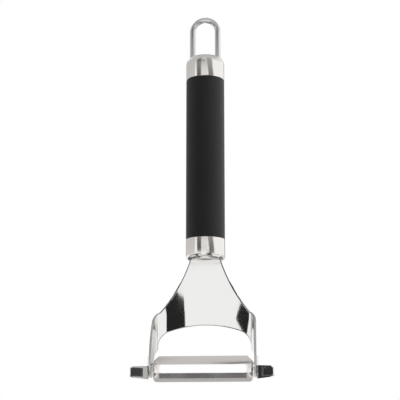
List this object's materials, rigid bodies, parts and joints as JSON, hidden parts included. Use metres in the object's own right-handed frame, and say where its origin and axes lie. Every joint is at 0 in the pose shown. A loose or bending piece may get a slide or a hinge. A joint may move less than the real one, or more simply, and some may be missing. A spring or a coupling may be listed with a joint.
{
  "type": "vegetable peeler",
  "caption": "Y-shaped vegetable peeler: slotted swivel blade in a bowed steel fork with eye scoops, round soft-grip handle and a wire hanging loop.",
  "frame": {"origin": "centre of the hanging loop's bend, where a hook or peg carries the peeler", "axes": "+Z along the handle, up from the blade to the loop; +X along the blade, to the right seen from the front; the front, with the blade, faces -Y"},
  "size_m": [0.0766, 0.0361, 0.2126],
  "materials": {
    "wire_steel": "polished stainless wire",
    "collar_steel": "brushed stainless, grain round the handle",
    "fork_steel": "mirror-polished stainless sheet",
    "blade_steel": "stainless strip, fine lengthwise grain, ground edge",
    "scoop_steel": "polished stamped steel",
    "rivet_steel": "polished rivet",
    "soft_grip": "soft-touch, satin black",
    "core_plastic": "moulded, unseen inside the handle"
  },
  "bodies": {
    "handle": {"hanging_loop": "wire_steel", "top_cap": "collar_steel", "handle_core": "core_plastic", "grip_sleeve": "soft_grip", "lower_collar": "collar_steel", "fork": "fork_steel", "pivot_rivet_right": "rivet_steel", "pivot_rivet_left": "rivet_steel", "eye_scoop_right": "scoop_steel", "eye_scoop_left": "scoop_steel"},
    "blade": {"blade": "blade_steel"}
  },
  "joints": [
    {"name": "blade_swivel", "type": "hinge", "parent": "handle", "child": "blade", "pos_m": [0, -0.015, -0.1968], "axis": [1, 0, 0], "range_deg": [-22, 22]}
  ]
}
